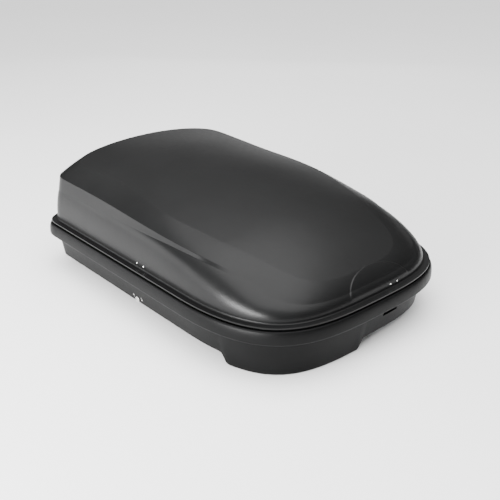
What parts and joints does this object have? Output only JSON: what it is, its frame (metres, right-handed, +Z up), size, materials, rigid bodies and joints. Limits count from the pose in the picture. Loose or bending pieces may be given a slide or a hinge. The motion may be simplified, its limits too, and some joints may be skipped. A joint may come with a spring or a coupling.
{
  "type": "roof cargo box",
  "caption": "Low black hard-shell roof box for a car: side-opening crowned lid with stays and hinges, keyed lock, and U-bolt clamps for the roof bars.",
  "frame": {"origin": "middle of the footprint, at the level of the skids it stands on", "axes": "+X to the nose (the car's front), -Y to the lock side, +Y to the hinge side, +Z up"},
  "size_m": [1.22, 0.8588, 0.3935],
  "materials": {
    "lid_abs": "satin black vacuum-formed ABS with a fine grain",
    "base_abs": "matt black vacuum-formed ABS with a leather-fine grain",
    "rubber": "dull black rubber",
    "zinc_steel": "zinc-plated steel",
    "bright_metal": "bright nickel-plated metal",
    "black_steel": "black powder-coated steel",
    "nylon": "matt black nylon"
  },
  "bodies": {
    "base": {"base_shell": "base_abs", "floor_rail_near": "zinc_steel", "floor_rail_far": "zinc_steel", "rear_skid_near": "rubber", "rear_skid_far": "rubber", "front_skid_far": "rubber", "nose_bumper": "rubber", "nose_locating_bar": "bright_metal", "bar_lug_near": "black_steel", "bar_lug_far": "black_steel", "lock_housing": "bright_metal", "lock_nut": "zinc_steel", "hinge_base_leaf_1": "black_steel", "hinge_base_leaf_2": "black_steel", "hinge_base_leaf_3": "black_steel", "hinge_pin_1": "bright_metal", "hinge_pin_2": "bright_metal", "hinge_pin_3": "bright_metal", "stay_base_bracket_rear": "black_steel", "stay_base_bracket_front": "black_steel"},
    "lid": {"lid_shell": "lid_abs", "lid_rib_rear": "lid_abs", "lid_rib_front": "lid_abs", "lid_seal": "rubber", "lid_catch": "zinc_steel", "nose_tongue": "zinc_steel", "catch_rivet_a": "bright_metal", "catch_rivet_b": "bright_metal", "nose_rivet_a": "bright_metal", "nose_rivet_b": "bright_metal", "hinge_lid_leaf_1": "black_steel", "hinge_lid_leaf_2": "black_steel", "hinge_lid_leaf_3": "black_steel", "stay_lid_bracket_rear": "black_steel", "stay_lid_bracket_front": "black_steel"},
    "lock_plug": {"lock_plug": "bright_metal", "lock_cam": "zinc_steel"},
    "stay_tube_rear": {"stay_tube_rear": "black_steel"},
    "stay_rod_rear": {"stay_rod_rear": "bright_metal"},
    "stay_tube_front": {"stay_tube_front": "black_steel"},
    "stay_rod_front": {"stay_rod_front": "bright_metal"},
    "clamp_rear_near": {"clamp_plate_rear_near": "black_steel"},
    "u_bolt_rear_near": {"clamp_u_bolt_rear_near": "zinc_steel"},
    "knob_rear_near_a": {"clamp_knob_rear_near_a": "nylon"},
    "knob_rear_near_b": {"clamp_knob_rear_near_b": "nylon"},
    "clamp_rear_far": {"clamp_plate_rear_far": "black_steel"},
    "u_bolt_rear_far": {"clamp_u_bolt_rear_far": "zinc_steel"},
    "knob_rear_far_a": {"clamp_knob_rear_far_a": "nylon"},
    "knob_rear_far_b": {"clamp_knob_rear_far_b": "nylon"},
    "clamp_front_near": {"clamp_plate_front_near": "black_steel"},
    "u_bolt_front_near": {"clamp_u_bolt_front_near": "zinc_steel"},
    "knob_front_near_a": {"clamp_knob_front_near_a": "nylon"},
    "knob_front_near_b": {"clamp_knob_front_near_b": "nylon"},
    "clamp_front_far": {"clamp_plate_front_far": "black_steel"},
    "u_bolt_front_far": {"clamp_u_bolt_front_far": "zinc_steel"},
    "knob_front_far_a": {"clamp_knob_front_far_a": "nylon"},
    "knob_front_far_b": {"clamp_knob_front_far_b": "nylon"}
  },
  "joints": [
    {"name": "lid_hinge", "type": "hinge", "parent": "base", "child": "lid", "pos_m": [-0.06, 0.4225, 0.16], "axis": [-1, 0, 0], "range_deg": [0, 50]},
    {"name": "lock_turn", "type": "hinge", "parent": "base", "child": "lock_plug", "pos_m": [-0.04, -0.3915, 0.047], "axis": [0, 1, 0], "range_deg": [0, 90]},
    {"name": "stay_swing_rear", "type": "hinge", "parent": "base", "child": "stay_tube_rear", "pos_m": [-0.47, 0.3, 0.07], "axis": [-1, 0, 0], "range_deg": [0, 32.5]},
    {"name": "stay_extend_rear", "type": "slide", "parent": "stay_tube_rear", "child": "stay_rod_rear", "axis": [0, -0.2545, 0.9671], "range_m": [0, 0.105]},
    {"name": "stay_swing_front", "type": "hinge", "parent": "base", "child": "stay_tube_front", "pos_m": [0.27, 0.3, 0.07], "axis": [-1, 0, 0], "range_deg": [0, 32.5]},
    {"name": "stay_extend_front", "type": "slide", "parent": "stay_tube_front", "child": "stay_rod_front", "axis": [0, -0.2545, 0.9671], "range_m": [0, 0.105]},
    {"name": "clamp_slide_rear_near", "type": "slide", "parent": "base", "child": "clamp_rear_near", "axis": [1, 0, 0], "range_m": [-0.04, 0.04]},
    {"name": "knob_turn_rear_near_a", "type": "hinge", "parent": "clamp_rear_near", "child": "knob_rear_near_a", "pos_m": [-0.4, -0.25, 0.0449], "axis": [0, 0, 1], "range_deg": [0, 14400]},
    {"name": "knob_turn_rear_near_b", "type": "hinge", "parent": "clamp_rear_near", "child": "knob_rear_near_b", "pos_m": [-0.32, -0.25, 0.0449], "axis": [0, 0, 1], "range_deg": [0, 14400]},
    {"name": "u_bolt_drop_rear_near", "type": "slide", "parent": "clamp_rear_near", "child": "u_bolt_rear_near", "axis": [0, 0, -1], "range_m": [0, 0.05]},
    {"name": "clamp_slide_rear_far", "type": "slide", "parent": "base", "child": "clamp_rear_far", "axis": [1, 0, 0], "range_m": [-0.04, 0.04]},
    {"name": "knob_turn_rear_far_a", "type": "hinge", "parent": "clamp_rear_far", "child": "knob_rear_far_a", "pos_m": [-0.4, 0.25, 0.0449], "axis": [0, 0, 1], "range_deg": [0, 14400]},
    {"name": "knob_turn_rear_far_b", "type": "hinge", "parent": "clamp_rear_far", "child": "knob_rear_far_b", "pos_m": [-0.32, 0.25, 0.0449], "axis": [0, 0, 1], "range_deg": [0, 14400]},
    {"name": "u_bolt_drop_rear_far", "type": "slide", "parent": "clamp_rear_far", "child": "u_bolt_rear_far", "axis": [0, 0, -1], "range_m": [0, 0.05]},
    {"name": "clamp_slide_front_near", "type": "slide", "parent": "base", "child": "clamp_front_near", "axis": [1, 0, 0], "range_m": [-0.04, 0.04]},
    {"name": "knob_turn_front_near_a", "type": "hinge", "parent": "clamp_front_near", "child": "knob_front_near_a", "pos_m": [0.15, -0.25, 0.0449], "axis": [0, 0, 1], "range_deg": [0, 14400]},
    {"name": "knob_turn_front_near_b", "type": "hinge", "parent": "clamp_front_near", "child": "knob_front_near_b", "pos_m": [0.23, -0.25, 0.0449], "axis": [0, 0, 1], "range_deg": [0, 14400]},
    {"name": "u_bolt_drop_front_near", "type": "slide", "parent": "clamp_front_near", "child": "u_bolt_front_near", "axis": [0, 0, -1], "range_m": [0, 0.05]},
    {"name": "clamp_slide_front_far", "type": "slide", "parent": "base", "child": "clamp_front_far", "axis": [1, 0, 0], "range_m": [-0.04, 0.04]},
    {"name": "knob_turn_front_far_a", "type": "hinge", "parent": "clamp_front_far", "child": "knob_front_far_a", "pos_m": [0.15, 0.25, 0.0449], "axis": [0, 0, 1], "range_deg": [0, 14400]},
    {"name": "knob_turn_front_far_b", "type": "hinge", "parent": "clamp_front_far", "child": "knob_front_far_b", "pos_m": [0.23, 0.25, 0.0449], "axis": [0, 0, 1], "range_deg": [0, 14400]},
    {"name": "u_bolt_drop_front_far", "type": "slide", "parent": "clamp_front_far", "child": "u_bolt_front_far", "axis": [0, 0, -1], "range_m": [0, 0.05]}
  ],
  "couplings": [
    {"joint": "stay_swing_rear", "follows": "lid_hinge", "ratio": 0.6373},
    {"joint": "stay_extend_rear", "follows": "lid_hinge", "m_per_rad": 0.1183},
    {"joint": "stay_swing_front", "follows": "lid_hinge", "ratio": 0.6373},
    {"joint": "stay_extend_front", "follows": "lid_hinge", "m_per_rad": 0.1183},
    {"joint": "knob_turn_rear_near_a", "follows": "u_bolt_drop_rear_near", "rad_per_m": 5026.5},
    {"joint": "knob_turn_rear_near_b", "follows": "u_bolt_drop_rear_near", "rad_per_m": 5026.5},
    {"joint": "knob_turn_rear_far_a", "follows": "u_bolt_drop_rear_far", "rad_per_m": 5026.5},
    {"joint": "knob_turn_rear_far_b", "follows": "u_bolt_drop_rear_far", "rad_per_m": 5026.5},
    {"joint": "knob_turn_front_near_a", "follows": "u_bolt_drop_front_near", "rad_per_m": 5026.5},
    {"joint": "knob_turn_front_near_b", "follows": "u_bolt_drop_front_near", "rad_per_m": 5026.5},
    {"joint": "knob_turn_front_far_a", "follows": "u_bolt_drop_front_far", "rad_per_m": 5026.5},
    {"joint": "knob_turn_front_far_b", "follows": "u_bolt_drop_front_far", "rad_per_m": 5026.5}
  ]
}
